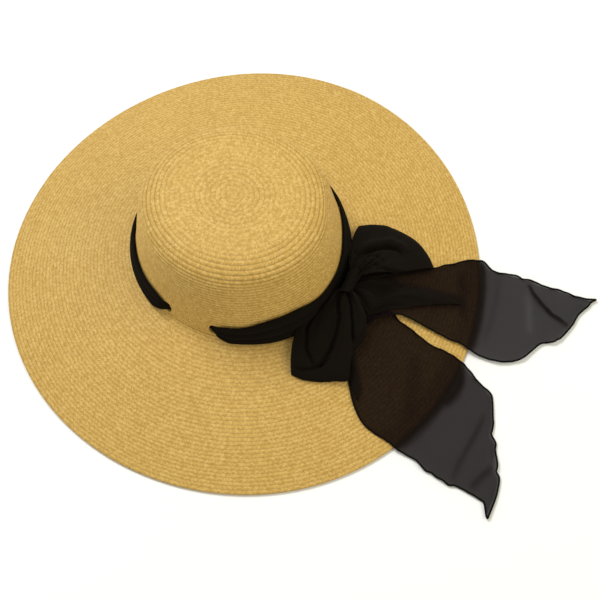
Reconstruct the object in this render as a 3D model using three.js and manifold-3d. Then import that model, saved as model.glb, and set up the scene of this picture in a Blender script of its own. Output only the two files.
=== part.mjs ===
import * as THREE from 'three';
import { mergeVertices } from 'three/addons/utils/BufferGeometryUtils.js';
import Module from 'manifold-3d';

// Wide-brim sun hat of sewn straw braid, lying on its brim, with a chiffon scarf threaded
// round the crown and tied in a bow. Millimetres, +Z up. +X runs from the crown's middle to
// the bow at the back of the hat. The pieces are made round the crown's axis and the whole
// hat is then moved so that the middle of its footprint is the origin.

// Straw
const strawWall = 2;
const joinGap = 0.3;
const facetsRound = 64;
const edgeRadius = 218.7;
const edgeWave = 2.3;
const edgeWaves = 3;
const edgeWaveTurn = 30;
const edgeFlat = 3.8;
const edgeRise = 2.4;
const edgeRound = { top: 0.8, foot: 0.5 };

// Scarf
const clothWall = 1.3;
const clothGap = 0.4;
const bandFoot = 41.6;
const bandHead = 62;
const bandDepth = 4.6;

// The band rises towards the knot, is pressed thin behind it, and is drawn tight between the
// knot and the slot on one side. Angles are in degrees round the crown from +X.
const bandLift = { height: 4, from: 10, to: 45 };
const bandPress = { depth: 3, from: 7, to: 14 };
const bandTight = { foot: 5, depth: 1.5, from: [10, 30], to: [60, 74] };

// Slots, and how the scarf slims down to pass through them: its depth in the slot, the angles
// over which it opens again outside and inside, and the share of its size that it has inside.
const slotWidth = 9;
const slotFoot = 46.2;
const slotHead = 59;
const slotRadius = 90;
const slotAngles = [78.4, 108.2, -108.2, -78.4];
const slotSteps = [-3.9, -2.6, -1.3, 0, 1.3, 2.6, 3.9];
const slotPinch = { depth: 2, margin: 1, clear: 3, outside: 17, inside: 12, share: 0.15 };
const knotCentre = new THREE.Vector3(105.6, -1, 54.5);
const knotHalf = new THREE.Vector3(6.5, 11, 10.5);
const knotRib = 0.05;
const drapeRun = 16;

// Bow loops: half thickness and pleat depth at the knot and at the far fold, half the mouth
// between the two layers, and the room under a loop, on the brim and over a tail.
const loopRoot = 0.1;
const loopHalf = { knot: 7, fold: 4.2 };
const loopMouth = 1.5;
const pleatDepth = { knot: 1.5, fold: 0.9 };
const loopLift = { brim: 1.2, tail: 5 };

// Tails: where the waves that start at the knot have faded, the width from which they have
// their full height, and where the root has come down from the knot to the brim.
const tailWaveEnd = 210;
const tailWaveWidth = 30;
const tailEndWave = 0.4;
const rootEnd = 134;

// Upper face of the straw from the tip's middle to the brim's edge: half length of the oval
// ring along X, half width along Y, and height.
const strawRows = [
  { long: 30, short: 27.5, height: 131.3 },
  { long: 55, short: 50, height: 130 },
  { long: 68, short: 62, height: 127.6 },
  { long: 77, short: 70.5, height: 122.6 },
  { long: 82, short: 75.5, height: 115.2 },
  { long: 85, short: 78.5, height: 105.3 },
  { long: 88, short: 81.5, height: 91.3 },
  { long: 93.5, short: 87, height: 61.3 },
  { long: 97, short: 90.5, height: 43.6 },
  { long: 98.6, short: 92.1, height: 41 },
  { long: 102, short: 95.6, height: 39.2 },
  { long: 109, short: 103, height: 37.3 },
  { long: 125, short: 120.5, height: 32.8 },
  { long: 146, short: 143.5, height: 26.5 },
  { long: 169, short: 168, height: 19.2 },
  { long: 190, short: 190, height: 12.4 },
  { long: 208, short: 208, height: 6.4 },
];
const joinRow = 8;
const bandTopRow = 4;
const brimRadius = strawRows[joinRow + 2].long;

// The scarf's folded section: share of its height, and share of its depth from the wall out.
const bandSection = [
  { up: 0.04, out: 0.2 },
  { up: 0.35, out: 0 },
  { up: 0.7, out: 0 },
  { up: 1, out: 0.1 },
  { up: 0.93, out: 0.7 },
  { up: 0.66, out: 0.95 },
  { up: 0.34, out: 1 },
  { up: 0.02, out: 0.85 },
];

// Bow loops: where each leaves the knot, how much it puffs up, its pleats, and the fold at
// its far end, seen from above, with the sideways bow of the ray from the knot to each point.
const upperLoop = {
  start: new THREE.Vector2(106, 3),
  puff: 2.5,
  pleats: 4,
  overTail: 0,
  fold: [
    { x: 86.5, y: 64, bow: 5 },
    { x: 97, y: 72, bow: 4 },
    { x: 107, y: 77, bow: 2 },
    { x: 117, y: 78.5, bow: 0 },
    { x: 131, y: 79, bow: 0 },
    { x: 142, y: 76.5, bow: 0 },
    { x: 152, y: 71, bow: 0 },
    { x: 162, y: 62, bow: 0 },
  ],
};
const lowerLoop = {
  start: new THREE.Vector2(106, -5),
  puff: 1,
  pleats: 4,
  overTail: 1,
  fold: [
    { x: 92.5, y: -90, bow: -15 },
    { x: 103.5, y: -89.3, bow: -11 },
    { x: 116.3, y: -84.5, bow: -6 },
    { x: 128.4, y: -78, bow: -2 },
    { x: 137, y: -70, bow: 0 },
    { x: 138, y: -58, bow: 2 },
    { x: 138, y: -46, bow: 2 },
    { x: 136.5, y: -35, bow: 2 },
    { x: 133, y: -24, bow: 2 },
  ],
};

// Each tail has its waves, how high they are near the knot, how far the root rises to the
// knot, and a row of cuts across it: distance from the crown's axis along X, and the Y of its
// two edges there.
const upperTail = { waves: 2, turn: 0, tall: 2.6, rise: 8, cuts: [
  { x: 110, right: -3, left: 4 },
  { x: 114, right: -4, left: 9 },
  { x: 122, right: -8, left: 16 },
  { x: 130, right: -17, left: 25 },
  { x: 136, right: -8.5, left: 31 },
  { x: 143, right: 2, left: 38 },
  { x: 152, right: 5.5, left: 47 },
  { x: 160, right: 6, left: 56 },
  { x: 175, right: 7, left: 75 },
  { x: 190, right: 7.5, left: 91 },
  { x: 205, right: 8, left: 95.5 },
  { x: 221, right: 10, left: 94.5 },
  { x: 240, right: 10.5, left: 94.5 },
  { x: 253, right: 12.5, left: 95.5 },
  { x: 263, right: 23, left: 96 },
  { x: 275, right: 43, left: 97 },
  { x: 289, right: 64, left: 97.5 },
  { x: 298, right: 90, left: 99.5 },
  { x: 303, right: 100, left: 102 },
] };
const lowerTail = { waves: 2.5, turn: 0.5, tall: 1.2, rise: 6.6, cuts: [
  { x: 110, right: -9, left: -5 },
  { x: 114, right: -15, left: -6.5 },
  { x: 122, right: -34, left: -12.5 },
  { x: 130, right: -56, left: -21 },
  { x: 136, right: -69, left: -12 },
  { x: 143, right: -77, left: -1.5 },
  { x: 150, right: -85, left: 1.5 },
  { x: 156, right: -90, left: 0.5 },
  { x: 168, right: -96, left: -3.5 },
  { x: 182, right: -98, left: -7 },
  { x: 198, right: -100, left: -8.5 },
  { x: 212, right: -103, left: -9 },
  { x: 226, right: -106, left: -12 },
  { x: 252, right: -110, left: -24 },
  { x: 265, right: -111, left: -57 },
  { x: 277, right: -112, left: -76 },
  { x: 286, right: -115, left: -92 },
  { x: 290, right: -123, left: -118 },
] };

const wasm = await Module();
wasm.setup();

const radians = THREE.MathUtils.degToRad;
const blend = THREE.MathUtils.smoothstep;
const mix = THREE.MathUtils.lerp;

// Distance from the axis to an oval ring, in the direction of an angle in radians.
function ovalRadius(long, short, angle) {
  return 1 / Math.hypot(Math.cos(angle) / long, Math.sin(angle) / short);
}

function polar(radius, angle, height) {
  return new THREE.Vector3(radius * Math.cos(angle), radius * Math.sin(angle), height);
}

// The brim's outline waves a little, less and less towards the crown.
function waveAt(angle, radius) {
  const share = Math.max(0, radius - brimRadius) / (edgeRadius - brimRadius);
  return share ** 2 * edgeWave * Math.cos(edgeWaves * (angle + radians(edgeWaveTurn)));
}

// Straw rows seen along one direction: radius and height of the upper face.
function strawLine(angle) {
  return strawRows.map((row) => {
    const radius = ovalRadius(row.long, row.short, angle);
    return new THREE.Vector2(radius + waveAt(angle, row.long), row.height);
  });
}

// The same line moved by a distance to its right hand, into the straw's thickness.
function lineInside(line, depth) {
  return line.map((point, index) => {
    const before = line[Math.max(index - 1, 0)];
    const after = line[Math.min(index + 1, line.length - 1)];
    const along = after.clone().sub(before).normalize();
    if (index === 0) along.set(1, 0);
    return new THREE.Vector2(point.x + along.y * depth, point.y - along.x * depth);
  });
}

// A value read from one column of a table at a place between its rows.
function readTable(rows, key, at, column) {
  const next = rows.findIndex((row) => row[key] >= at);
  if (next <= 0) return rows[next === 0 ? 0 : rows.length - 1][column];
  const share = (at - rows[next - 1][key]) / (rows[next][key] - rows[next - 1][key]);
  return mix(rows[next - 1][column], rows[next][column], share);
}

// Turns every triangle over if together they enclose the body from the wrong side.
function facesOut(positions, indices) {
  const corner = (index) => new THREE.Vector3().fromArray(positions, 3 * index);
  let volume = 0;
  for (let face = 0; face < indices.length; face += 3) {
    const [a, b, c] = indices.slice(face, face + 3).map(corner);
    volume += a.dot(b.cross(c));
  }
  return volume < 0 ? indices.slice().reverse() : indices;
}

// A closed body from rows of points that each run round its section. A row whose points
// fall together is an end.
function bodyFromRows(rows, ringBack = false) {
  const positions = [];
  const indices = [];
  rows.forEach((row) => row.forEach((point) => positions.push(point.x, point.y, point.z)));
  const across = rows[0].length;
  const spans = ringBack ? rows.length : rows.length - 1;
  const at = (row, column) => (row % rows.length) * across + (column % across);
  const apart = (a, b) => {
    const rowA = rows[Math.floor(a / across)][a % across];
    return rowA.distanceTo(rows[Math.floor(b / across)][b % across]) > 1e-3;
  };
  const face = (a, b, c) => {
    if (apart(a, b) && apart(b, c) && apart(c, a)) indices.push(a, b, c);
  };
  for (let row = 0; row < spans; row += 1) {
    for (let column = 0; column < across; column += 1) {
      face(at(row, column), at(row, column + 1), at(row + 1, column + 1));
      face(at(row, column), at(row + 1, column + 1), at(row + 1, column));
    }
  }
  const geometry = new THREE.BufferGeometry();
  geometry.setAttribute('position', new THREE.Float32BufferAttribute(positions, 3));
  geometry.setIndex(facesOut(positions, indices));
  return mergeVertices(geometry, 1e-3);
}

function solidOf(geometry) {
  const bare = geometry.clone();
  bare.deleteAttribute('normal');
  bare.deleteAttribute('uv');
  const merged = mergeVertices(bare, 1e-3);
  const vertProperties = new Float32Array(merged.attributes.position.array);
  const triVerts = new Uint32Array(merged.index.array);
  return new wasm.Manifold(new wasm.Mesh({ numProp: 3, vertProperties, triVerts }));
}

// The largest single body of a solid, as a geometry.
function geometryOf(solid) {
  const bodies = solid.decompose().sort((a, b) => b.volume() - a.volume());
  const mesh = bodies[0].getMesh();
  const geometry = new THREE.BufferGeometry();
  geometry.setAttribute('position', new THREE.Float32BufferAttribute(mesh.vertProperties, 3));
  geometry.setIndex(Array.from(mesh.triVerts));
  return geometry;
}

function piece(name, geometry, colour, roughness) {
  const shaded = geometry.toNonIndexed();
  shaded.computeVertexNormals();
  const finish = new THREE.MeshStandardMaterial({ color: colour, roughness, metalness: 0 });
  const mesh = new THREE.Mesh(shaded, finish);
  mesh.name = name;
  return mesh;
}

// Crown: the wall from the tip down to the join, out on the upper face and back inside.
function crownGeometry() {
  const columns = [];
  for (let facet = 0; facet < facetsRound; facet += 1) {
    const angle = (facet / facetsRound) * 2 * Math.PI;
    const line = strawLine(angle);
    const outer = line.slice(0, joinRow + 1);
    const inner = lineInside(line, strawWall).slice(0, joinRow + 1);
    const tip = [new THREE.Vector2(0, outer[0].y), new THREE.Vector2(0, inner[0].y)];
    const section = [tip[0], ...outer, ...inner.reverse(), tip[1]];
    columns.push(section.map((point) => polar(point.x, angle, point.y)));
  }
  const rows = columns[0].map((_, index) => columns.map((column) => column[index]));
  return bodyFromRows(rows);
}

// A slot in the crown's wall, cut by an upright block that stands across the wall.
function slotCutter(degrees) {
  const angle = radians(degrees);
  const radius = ovalRadius(strawRows[joinRow].long, strawRows[joinRow].short, angle);
  const block = new THREE.BoxGeometry(10 * strawWall, slotWidth, slotHead - slotFoot);
  block.rotateZ(angle);
  const middle = polar(radius, angle, (slotHead + slotFoot) / 2);
  return solidOf(block.translate(middle.x, middle.y, middle.z));
}

// Brim: the upper face from the join to the edge, a flat foot under the edge, and the
// underside back to the join.
function brimGeometry() {
  const rows = [];
  for (let facet = 0; facet < facetsRound; facet += 1) {
    const angle = (facet / facetsRound) * 2 * Math.PI;
    const line = strawLine(angle);
    const upper = line.slice(joinRow);
    const under = lineInside(line, strawWall).slice(joinRow);
    upper[0] = upper[0].clone().add(new THREE.Vector2(joinGap / 3, -joinGap));
    under[0] = under[0].clone().add(new THREE.Vector2(joinGap / 3, -joinGap));
    const edge = edgeRadius + waveAt(angle, edgeRadius);
    const rim = [
      new THREE.Vector2(edge - edgeRound.top, edgeRise),
      new THREE.Vector2(edge, edgeRise / 2),
      new THREE.Vector2(edge - edgeRound.foot, 0),
      new THREE.Vector2(edge - edgeFlat, 0),
    ];
    const section = [...upper, ...rim, ...under.reverse()];
    rows.push(section.map((point) => polar(point.x, angle, point.y)));
  }
  return bodyFromRows(rows, true);
}

// Height of the straw's upper face at a place on the brim, or of the cloth's drape past the
// brim's edge, where it comes down to the surface that the hat lies on.
function restHeight(x, y) {
  const angle = Math.atan2(y, x);
  const radius = Math.hypot(x, y);
  const rows = strawLine(angle).slice(joinRow).map((point) => ({ at: point.x, height: point.y }));
  const edge = edgeRadius + waveAt(angle, edgeRadius);
  rows.push({ at: edge, height: edgeRise });
  if (radius <= edge) return readTable(rows, 'at', radius, 'height');
  return edgeRise * (1 - blend(radius, edge, edge + drapeRun));
}

// How far the scarf lies outside the crown at an angle: 1 outside, 0 inside.
function bandSide(degrees) {
  const away = Math.abs(degrees);
  const half = THREE.MathUtils.radToDeg((0.45 * slotWidth) / slotRadius);
  const first = (slotAngles[0] + half - away) / (2 * half);
  const second = (away - slotAngles[1] + half) / (2 * half);
  return THREE.MathUtils.clamp(Math.max(first, second), 0, 1);
}

// Angles of the scarf's cuts: even steps, closer at each slot.
function bandAngles() {
  const angles = [];
  const nearest = slotSteps[slotSteps.length - 1];
  for (let degrees = -180; degrees < 180; degrees += 5) {
    if (slotAngles.every((slot) => Math.abs(degrees - slot) > nearest)) angles.push(degrees);
  }
  slotAngles.forEach((slot) => slotSteps.forEach((step) => angles.push(slot + step)));
  return angles.sort((a, b) => a - b);
}

// Scarf: one closed ring whose section slims down where it dips through a slot. It can be
// grown outwards by a gap, to cut what lies against it.
function bandGeometry(grow = 0) {
  const heightRows = strawRows.slice(bandTopRow, joinRow + 2).reverse();
  const rows = bandAngles().map((degrees) => {
    const angle = radians(degrees);
    const away = Math.abs(degrees);
    const side = bandSide(degrees);
    const nearSlot = Math.min(...slotAngles.map((slot) => Math.abs(degrees - slot)));
    const full = side > 0.5
      ? blend(nearSlot, slotPinch.clear, slotPinch.outside)
      : slotPinch.share * blend(nearSlot, slotPinch.clear, slotPinch.inside);
    const lift = bandLift.height * (1 - blend(away, bandLift.from, bandLift.to));
    const pressed = 1 - blend(away, bandPress.from, bandPress.to);
    const tight = blend(degrees, ...bandTight.from) * (1 - blend(degrees, ...bandTight.to));
    const lowest = bandFoot + bandTight.foot * tight;
    const foot = mix(slotFoot + slotPinch.margin, lowest, full) - grow;
    const head = mix(slotHead - slotPinch.margin, bandHead + lift, full) + grow;
    const open = bandDepth - bandTight.depth * tight;
    const depth = mix(mix(slotPinch.depth, open, full), bandPress.depth, pressed) + grow;
    return bandSection.map((point) => {
      const height = mix(foot, head, point.up);
      const long = readTable(heightRows, 'height', height, 'long');
      const short = readTable(heightRows, 'height', height, 'short');
      const wall = ovalRadius(long, short, angle);
      const outside = wall + clothGap + depth * point.out;
      const inside = wall - strawWall - clothGap - depth * (1 - point.out);
      return polar(mix(inside, outside, side), angle, height);
    });
  });
  return bodyFromRows(rows, true);
}

// Knot: the scarf wound round itself, a barrel with three ribs along Y.
function knotGeometry(grow = 0) {
  const rows = [];
  const steps = 12;
  const facets = 16;
  for (let step = 0; step <= steps; step += 1) {
    const along = -Math.cos((step / steps) * Math.PI);
    const rib = 1 + knotRib * Math.cos(3 * Math.PI * along);
    const swell = Math.max(0, 1 - along ** 4) ** 0.5 * rib;
    const row = [];
    for (let facet = 0; facet < facets; facet += 1) {
      const angle = (facet / facets) * 2 * Math.PI;
      row.push(new THREE.Vector3(
        knotCentre.x + (knotHalf.x + grow) * swell * Math.cos(angle),
        knotCentre.y + (knotHalf.y + grow) * along,
        knotCentre.z + (knotHalf.z + grow) * swell * Math.sin(angle),
      ));
    }
    rows.push(row);
  }
  return bodyFromRows(rows);
}

// The rows of a sheet with a closing row at each end, where its two faces meet.
function withEnds(rows) {
  const ends = [rows[0], rows[rows.length - 1]].map((row) => row.map((point, index) => {
    return point.clone().add(row[row.length - 1 - index]).multiplyScalar(0.5);
  }));
  return [ends[0], ...rows, ends[1]];
}

// Bow loop: a strip that leaves the knot, turns back at the far fold and returns under
// itself, gathered into pleats that fade out towards the fold.
function loopGeometry({ start, puff, pleats, overTail, fold }) {
  const points = fold.map((row) => new THREE.Vector3(row.x, row.y, row.bow));
  const outline = new THREE.CatmullRomCurve3(points);
  const along = 16;
  const across = 14;
  const skin = (share, lateral, wall) => {
    const end = outline.getPoint(lateral);
    const ray = new THREE.Vector2(end.x - start.x, end.y - start.y);
    const side = new THREE.Vector2(-ray.y, ray.x).normalize();
    const turn = share * Math.PI;
    const reach = loopRoot + (1 - loopRoot) * Math.sin(turn) ** 0.8;
    const inner = reach * (1 - wall / ray.length());
    const swing = end.z * 4 * inner * (1 - inner);
    const x = start.x + ray.x * inner + side.x * swing;
    const y = start.y + ray.y * inner + side.y * swing;
    const round = Math.sqrt(Math.max(0, 1 - reach ** 6));
    const swell = puff * Math.sin(Math.PI * lateral) * blend(reach, loopRoot, 0.6);
    const outerHalf = (mix(loopHalf.knot, loopHalf.fold, blend(reach, 0, 0.7)) + swell) * round;
    const half = wall > 0 ? loopMouth * round : outerHalf;
    const pleat = mix(pleatDepth.knot, pleatDepth.fold, reach) * Math.cos(2 * Math.PI * pleats * lateral);
    const lift = mix(loopLift.brim, loopLift.tail, overTail * blend(lateral, 0.2, 0.45));
    const lying = restHeight(x, y) + clothGap + outerHalf + lift;
    const middle = mix(knotCentre.z, lying, blend(reach, 0, 0.75));
    return new THREE.Vector3(x, y, middle + Math.sign(Math.cos(turn) + 1e-9) * half + pleat);
  };
  const rows = [];
  for (let step = 0; step <= along; step += 1) {
    const outer = [];
    const inner = [];
    for (let column = 0; column <= across; column += 1) {
      outer.push(skin(step / along, column / across, 0));
      inner.push(skin(step / along, column / across, clothWall));
    }
    rows.push([...outer, ...inner.reverse()]);
  }
  return bodyFromRows(withEnds(rows));
}

// Tail: one layer of cloth that lies on the brim, bends over its edge and ends on the
// surface. Its lengthwise waves start at the knot and fade.
function tailGeometry({ waves, turn, tall, rise, cuts }) {
  const across = 12;
  const rows = cuts.map((cut) => {
    const upper = [];
    const lower = [];
    const width = cut.left - cut.right;
    const high = mix(tall, tailEndWave, blend(cut.x, cuts[0].x, tailWaveEnd));
    const root = rise * (1 - blend(cut.x, cuts[0].x, rootEnd));
    for (let column = 0; column <= across; column += 1) {
      const share = column / across;
      const y = mix(cut.right, cut.left, share);
      const wave = high * (1 + Math.cos(2 * Math.PI * (waves * share + turn)));
      const swell = wave * Math.min(1, width / tailWaveWidth);
      const height = restHeight(cut.x, y) + clothGap + swell + root;
      lower.push(new THREE.Vector3(cut.x, y, height));
      upper.push(new THREE.Vector3(cut.x, y, height + clothWall));
    }
    return [...upper, ...lower.reverse()];
  });
  return bodyFromRows(withEnds(rows));
}

const straw = '#d3a94f';
const chiffon = '#15110f';
const knotRoom = solidOf(knotGeometry(joinGap));
const slots = slotAngles.map((degrees) => slotCutter(degrees));
const crownSolid = slots.reduce((body, slot) => body.subtract(slot), solidOf(crownGeometry()));
const bandRoom = solidOf(bandGeometry(joinGap));
const clearOfKnot = (solid) => geometryOf(solid.subtract(knotRoom));
const clearOfBand = (geometry) => solidOf(geometry).subtract(bandRoom);

const hat = new THREE.Group();
hat.add(
  piece('crown', geometryOf(crownSolid), straw, 0.8),
  piece('brim', brimGeometry(), straw, 0.8),
  piece('scarf_band', bandGeometry(), chiffon, 0.9),
  piece('bow_knot', knotGeometry(), chiffon, 0.9),
  piece('bow_loop_upper', clearOfKnot(clearOfBand(loopGeometry(upperLoop))), chiffon, 0.9),
  piece('bow_loop_lower', clearOfKnot(clearOfBand(loopGeometry(lowerLoop))), chiffon, 0.9),
  piece('scarf_tail_upper', clearOfKnot(solidOf(tailGeometry(upperTail))), chiffon, 0.95),
  piece('scarf_tail_lower', clearOfKnot(solidOf(tailGeometry(lowerTail))), chiffon, 0.95),
);

const extent = new THREE.Box3().setFromObject(hat);
const middle = extent.getCenter(new THREE.Vector3());
hat.position.set(-middle.x, -middle.y, -extent.min.z);

export default hat;
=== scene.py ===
import math

import bpy
import numpy as np
from mathutils import Matrix, Vector


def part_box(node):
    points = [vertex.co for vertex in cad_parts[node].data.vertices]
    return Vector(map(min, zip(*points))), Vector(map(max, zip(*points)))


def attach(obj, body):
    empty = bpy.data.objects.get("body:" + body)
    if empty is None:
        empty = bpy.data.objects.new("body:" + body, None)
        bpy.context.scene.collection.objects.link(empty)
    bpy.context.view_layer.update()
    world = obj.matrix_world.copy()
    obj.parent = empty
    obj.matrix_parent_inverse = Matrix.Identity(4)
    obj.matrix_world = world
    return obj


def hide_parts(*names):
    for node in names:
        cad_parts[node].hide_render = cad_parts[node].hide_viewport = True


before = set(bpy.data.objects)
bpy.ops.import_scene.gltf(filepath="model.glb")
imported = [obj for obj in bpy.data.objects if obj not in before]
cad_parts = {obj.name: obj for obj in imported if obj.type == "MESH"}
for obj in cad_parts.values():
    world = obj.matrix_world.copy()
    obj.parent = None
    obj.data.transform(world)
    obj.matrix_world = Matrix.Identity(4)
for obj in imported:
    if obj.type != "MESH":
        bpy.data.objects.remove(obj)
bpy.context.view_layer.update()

# The camera looks down on the hat from the bow's side, as the photograph does. Its place and
# focal length were fitted to the brim's outline, seen on a picture 600 pixels wide.
MM = 0.001
crown_low, crown_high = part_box("crown")
hat_axis = ((crown_low + crown_high) / 2).to_2d()
brim_edge_height = 1.3 * MM
picture_width = 600
sensor_width = 36
focal_pixels = 1185.8
view_turn = math.radians(-60)
view_rise = math.radians(64.19)
view_roll = math.radians(-4.61)
view_distance = 1.1
view_aside = 50.5 * MM
view_above = -30.5 * MM
farthest_view = 20

back = Vector((
    math.cos(view_rise) * math.cos(view_turn),
    math.cos(view_rise) * math.sin(view_turn),
    math.sin(view_rise),
))
level = Vector((-math.sin(view_turn), math.cos(view_turn), 0))
raised = back.cross(level)
right = level * math.cos(view_roll) + raised * math.sin(view_roll)
up = raised * math.cos(view_roll) - level * math.sin(view_roll)
brim_middle = Vector((hat_axis.x, hat_axis.y, brim_edge_height))
camera_data = bpy.data.cameras.new("camera")
camera_data.sensor_width = sensor_width
camera_data.lens = focal_pixels * sensor_width / picture_width
camera_data.clip_end = farthest_view
camera = bpy.data.objects.new("camera", camera_data)
bpy.context.scene.collection.objects.link(camera)
camera.matrix_world = Matrix((right, up, back)).transposed().to_4x4()
camera.location = brim_middle + back * view_distance + right * view_aside + up * view_above
bpy.context.scene.camera = camera
bpy.context.scene.view_settings.view_transform = "Standard"

# The floor is a plain white table, large enough to fill the picture, lit by a big soft
# window-like lamp from the left and behind and by a paler one from the right.
floor_size = 8
key_place, key_size, key_power = Vector((-0.98, 0.38, 1.85)), 0.9, 26
key_colour = (0.97, 1.0, 1.14)
fill_place, fill_size, fill_power = Vector((1.45, 0.2, 1.4)), 1.4, 10.6
fill_colour = (1.0, 0.93, 0.72)
sky_colour, sky_strength = (1.0, 0.995, 0.98, 1), 0.57
floor_colour, floor_shade = (0.95, 0.945, 0.87, 1), (0.93, 0.925, 0.85, 1)
floor_cloud_scale = 3.0


def add_node(tree, kind, inputs=None, **settings):
    """A shader node with its settings, and its inputs set to values or linked to sockets."""
    made = tree.nodes.new(kind)
    for name, value in settings.items():
        setattr(made, name, value)
    for name, value in (inputs or {}).items():
        if isinstance(value, bpy.types.NodeSocket):
            tree.links.new(value, made.inputs[name])
        else:
            made.inputs[name].default_value = value
    return made


def math_of(tree, operation, first, second=0.0, third=0.0):
    """One step of arithmetic on shader values."""
    values = {0: first, 1: second, 2: third}
    return add_node(tree, "ShaderNodeMath", values, operation=operation).outputs[0]


def noise_of(tree, place, scale, detail=2.0):
    """Soft random values between 0 and 1 over a place."""
    settings = {"Vector": place, "Scale": scale, "Detail": detail}
    return add_node(tree, "ShaderNodeTexNoise", settings).outputs["Fac"]


def blend_of(tree, share, first, second, kind="MIX"):
    """One colour turned into a second one, or multiplied by it, by a share."""
    blend = {"Factor": share, 6: first, 7: second}
    return add_node(tree, "ShaderNodeMix", blend, data_type="RGBA", blend_type=kind).outputs[2]


def new_finish(name, **constants):
    """A material with its Principled shader, whose constant sockets are set directly."""
    finish = bpy.data.materials.new(name)
    finish.use_nodes = True
    shader = finish.node_tree.nodes["Principled BSDF"]
    for socket, value in constants.items():
        shader.inputs[socket.replace("_", " ")].default_value = value
    return finish, finish.node_tree, shader


def floor_finish():
    """Matt white paint, a very little uneven."""
    finish, tree, shader = new_finish("white_table", Roughness=0.85)
    place = add_node(tree, "ShaderNodeTexCoord").outputs["Object"]
    cloud = noise_of(tree, place, floor_cloud_scale)
    shade = blend_of(tree, cloud, floor_colour, floor_shade)
    tree.links.new(shade, shader.inputs["Base Color"])
    return finish


def soft_lamp(name, place, size, power, colour):
    """A round lamp, turned towards the middle of the brim."""
    data = bpy.data.lights.new(name, "AREA")
    data.color = colour
    data.shape = "DISK"
    data.size = size
    data.energy = power
    lamp = bpy.data.objects.new(name, data)
    lamp.location = place
    lamp.rotation_euler = (brim_middle - place).to_track_quat("-Z", "Y").to_euler()
    bpy.context.scene.collection.objects.link(lamp)


bpy.ops.object.select_all(action="DESELECT")
bpy.ops.mesh.primitive_plane_add(size=floor_size)
floor = bpy.context.object
floor.name = "floor"
floor.data.materials.append(floor_finish())
soft_lamp("key_lamp", key_place, key_size, key_power, key_colour)
soft_lamp("fill_lamp", fill_place, fill_size, fill_power, fill_colour)
world = bpy.data.worlds.new("sky")
bpy.context.scene.world = world
world.use_nodes = True
background = world.node_tree.nodes["Background"]
background.inputs["Color"].default_value = sky_colour
background.inputs["Strength"].default_value = sky_strength

# Crown and brim: one straw braid, wound in a flat spiral from the middle of the tip and sewn
# to itself row by row, each row lapping the next. The crown is blocked to an oval and turns
# into the brim at its foot; the two are separate pieces here, as they are in the frame.
straw_line = np.array((
    # half length along X, half width along Y, height: all in millimetres
    (0, 0, 131.3),
    (30, 27.5, 131.2),
    (55, 50, 130),
    (68, 62, 127.6),
    (77, 70.5, 122.6),
    (82, 75.5, 115.2),
    (85, 78.5, 105.3),
    (88, 81.5, 91.3),
    (93.5, 87, 61.3),
    (96.8, 90.3, 44.6),
    (98.6, 92.1, 41),
    (102, 95.6, 39.2),
    (109, 103, 37.3),
    (125, 120.5, 32.8),
    (146, 143.5, 26.5),
    (169, 168, 19.2),
    (190, 190, 12.4),
    (208, 208, 6.4),
    (218.2, 218.2, 2.4),
)) * MM
straw_line_steps = 24
crown_foot = straw_line[9]
brim_reach = straw_line[-1, 0]
straw_wall_depth = 2 * MM
join_height, join_gap = 43.4 * MM, 0.3 * MM
tip_row_width, wall_row_width = 4.35 * MM, 3.35 * MM
tip_rows = 19
row_profile = (0, 0.75, 1, 0.85)
row_relief = 0.38 * MM
edge_roll = 0.35 * MM
relief_shares = np.array((
    # distance from the tip's middle in millimetres, and how deep the rows are there
    (0, 0.9),
    (28, 0.9),
    (38, 0.55),
    (52, 0.7),
    (62, 1.7),
    (76, 2.3),
    (92, 2.1),
    (104, 1.2),
    (175, 0.75),
))
edge_wave, edge_waves, edge_wave_turn = 2.3 * MM, 3, math.radians(30)
edge_wave_start = 109 * MM
crown_dents = (
    # angle in degrees, spread, depth in millimetres, below zero for a bulge, and the two heights
    # in millimetres between which it grows
    (24, 0.075, 3, 46, 66),
    (57, 0.06, -2.4, 42, 56),
)
dent_head = (116 * MM, 130 * MM)
brim_around, crown_around = 288, 240
slot_angles = (78.4, 108.2, -108.2, -78.4)
slot_width, slot_foot, slot_head = 8.4 * MM, 46.6 * MM, 58.4 * MM
cutter_depth = 20 * MM
plait_width = 1.2 * MM
strand_slant, row_shift, seam_sharpness = 2.1, 0.37, 5.0
straw_tones = (
    (0.0, (0.505, 0.295, 0.057, 1)),
    (0.35, (0.567, 0.346, 0.073, 1)),
    (0.7, (0.625, 0.393, 0.091, 1)),
    (1.0, (0.7, 0.465, 0.13, 1)),
)
straw_noises = (
    # name, scale, detail, how much it changes a strand's tone, and the shift that evens it out
    ("fibre", 900.0, 3.0, 0.35, -0.17),
    ("patches", 220.0, 2.0, 0.3, -0.15),
    ("cloud", 22.0, 2.0, 0.24, -0.12),
)
fibre_relief = 0.3
straw_bump, straw_bump_depth = 0.3, 0.3 * MM
# The seams between the rows get painted shade, as in grooves: patchy, and more or less of it by the
# distance from the tip's middle.
seam_shade_patchiness, seam_shade_least = 0.7, 0.2
seam_shade_reach = 200 * MM
seam_shade_shares = (
    # distance from the tip's middle as a share of the reach, and how much painted shade the seams get
    # there
    (0.0, 0.35),
    (0.07, 0.5),
    (0.16, 0.5),
    (0.2, 0.25),
    (0.26, 0.3),
    (0.32, 0.75),
    (0.46, 0.8),
    (0.6, 0.5),
    (1.0, 0.62),
)

# What keeps a length from being nothing, and what rounding may take away.
tiny, slack = 1e-9, 1e-6


def smooth_curve(points, steps):
    """A soft curve through the points, with so many steps between each two."""
    ends = np.vstack((2 * points[0] - points[1], points, 2 * points[-1] - points[-2]))
    share = np.linspace(0, 1, steps, endpoint=False)[:, None]
    spans = []
    for a, b, c, d in zip(ends, ends[1:], ends[2:], ends[3:]):
        bend = 2 * a - 5 * b + 4 * c - d
        twist = 3 * b - a - 3 * c + d
        spans.append(b + 0.5 * share * (c - a + share * (bend + share * twist)))
    return np.vstack(spans + [points[-1:]])


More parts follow.
